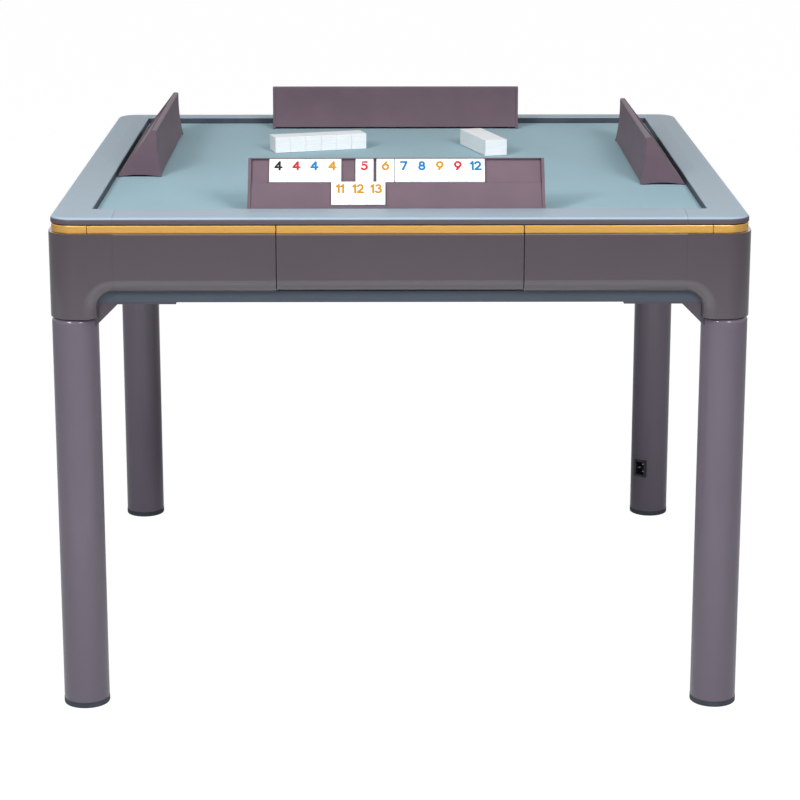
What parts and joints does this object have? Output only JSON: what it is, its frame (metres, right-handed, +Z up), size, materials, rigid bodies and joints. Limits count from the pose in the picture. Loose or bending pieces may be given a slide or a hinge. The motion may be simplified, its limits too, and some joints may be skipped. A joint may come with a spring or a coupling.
{
  "type": "game table",
  "caption": "Square electric game table with felt top, raised rim, a drawer in each side, round legs, sloped tile racks and loose numbered tiles.",
  "frame": {"origin": "on the floor under the middle of the top", "axes": "+Z up, the front side faces -Y, +X to the right seen from the front"},
  "size_m": [1.02, 1.02, 0.8173],
  "materials": {
    "apron": "high gloss mauve grey paint",
    "rim": "gloss blue grey",
    "gold": "anodised gold, satin",
    "leg": "high gloss mauve grey paint",
    "foot": "matt",
    "pan": "satin blue grey paint",
    "steel": "black powder coat",
    "bracket": "satin paint",
    "fastener": "zinc plated",
    "board": "bare fibreboard",
    "felt": "short pile felt",
    "drawer_box": "fine texture",
    "runner": "zinc plated",
    "rack": "satin moulded",
    "tile": "polished white melamine",
    "inlet": "moulded black",
    "pin": "plated",
    "lead": "matt sheath",
    "unit": "moulded",
    "circuit": "solder mask",
    "spacer": "turned",
    "drum": "moulded",
    "wheel": "matt",
    "motor": "cast housing",
    "pivot": "turned"
  },
  "bodies": {
    "table": {"apron_panels_front": "apron", "apron_panels_left": "apron", "apron_panels_rear": "apron", "apron_panels_right": "apron", "base_pan": "pan", "board_spacers": "spacer", "bracket_bolts": "fastener", "chassis_frame": "steel", "control_board": "circuit", "corner_casing_front_left": "apron", "corner_casing_front_right": "apron", "corner_casing_rear_left": "apron", "corner_casing_rear_right": "apron", "corner_plates": "steel", "drawer_runners": "runner", "drive_motor": "motor", "drum_pivot": "pivot", "gold_trim": "gold", "inlet_pins": "pin", "inner_lead": "lead", "leg_brackets": "bracket", "leg_feet": "foot", "leg_front_left": "leg", "leg_front_right": "leg", "leg_rear_left": "leg", "leg_rear_right": "leg", "mains_inlet": "inlet", "playing_board": "board", "playing_felt": "felt", "power_unit": "unit", "rim_corner_front_left": "rim", "rim_corner_front_right": "rim", "rim_corner_rear_left": "rim", "rim_corner_rear_right": "rim", "rim_rail_front": "rim", "rim_rail_left": "rim", "rim_rail_rear": "rim", "rim_rail_right": "rim"},
    "drawer_front": {"drawer_front_front": "apron", "drawer_box_front": "drawer_box", "drawer_trim_front": "gold"},
    "drawer_right": {"drawer_front_right": "apron", "drawer_box_right": "drawer_box", "drawer_trim_right": "gold"},
    "drawer_rear": {"drawer_front_rear": "apron", "drawer_box_rear": "drawer_box", "drawer_trim_rear": "gold"},
    "drawer_left": {"drawer_front_left": "apron", "drawer_box_left": "drawer_box", "drawer_trim_left": "gold"},
    "rack_front": {"rack_front": "rack"},
    "rack_right": {"rack_right": "rack"},
    "rack_rear": {"rack_rear": "rack"},
    "rack_left": {"rack_left": "rack"},
    "tiles_upper_row": {"tiles_upper_row": "tile"},
    "tiles_lower_row": {"tiles_lower_row": "tile"},
    "tile_stack_left": {"tile_stack_left": "tile"},
    "tile_stack_right": {"tile_stack_right": "tile"},
    "drum": {"tile_drum": "drum"},
    "drive_wheel": {"drive_wheel": "wheel"}
  },
  "joints": [
    {"name": "drawer_front_slide", "type": "slide", "parent": "table", "child": "drawer_front", "axis": [0, -1, 0], "range_m": [0, 0.15]},
    {"name": "drawer_right_slide", "type": "slide", "parent": "table", "child": "drawer_right", "axis": [1, 0, 0], "range_m": [0, 0.15]},
    {"name": "drawer_rear_slide", "type": "slide", "parent": "table", "child": "drawer_rear", "axis": [0, 1, 0], "range_m": [0, 0.15]},
    {"name": "drawer_left_slide", "type": "slide", "parent": "table", "child": "drawer_left", "axis": [-1, 0, 0], "range_m": [0, 0.15]},
    {"name": "rack_front_lift", "type": "slide", "parent": "table", "child": "rack_front", "axis": [0, 0, 1], "range_m": [0, 0.12]},
    {"name": "rack_right_lift", "type": "slide", "parent": "table", "child": "rack_right", "axis": [0, 0, 1], "range_m": [0, 0.12]},
    {"name": "rack_rear_lift", "type": "slide", "parent": "table", "child": "rack_rear", "axis": [0, 0, 1], "range_m": [0, 0.12]},
    {"name": "rack_left_lift", "type": "slide", "parent": "table", "child": "rack_left", "axis": [0, 0, 1], "range_m": [0, 0.12]},
    {"name": "tiles_upper_row_lift", "type": "slide", "parent": "rack_front", "child": "tiles_upper_row", "axis": [0, -0.7974, 0.6034], "range_m": [0, 0.06]},
    {"name": "tiles_lower_row_lift", "type": "slide", "parent": "rack_front", "child": "tiles_lower_row", "axis": [0, -0.7974, 0.6034], "range_m": [0, 0.06]},
    {"name": "tile_stack_left_lift", "type": "slide", "parent": "table", "child": "tile_stack_left", "axis": [0, 0, 1], "range_m": [0, 0.12]},
    {"name": "tile_stack_right_lift", "type": "slide", "parent": "table", "child": "tile_stack_right", "axis": [0, 0, 1], "range_m": [0, 0.12]},
    {"name": "drum_spin", "type": "hinge", "parent": "table", "child": "drum", "pos_m": [0, 0, 0.67], "axis": [0, 0, 1], "continuous": true},
    {"name": "drive_wheel_spin", "type": "hinge", "parent": "table", "child": "drive_wheel", "pos_m": [0.2573, 0, 0.668], "axis": [0, 0, 1], "continuous": true}
  ],
  "couplings": [
    {"joint": "drive_wheel_spin", "follows": "drum_spin", "ratio": -10.682}
  ]
}
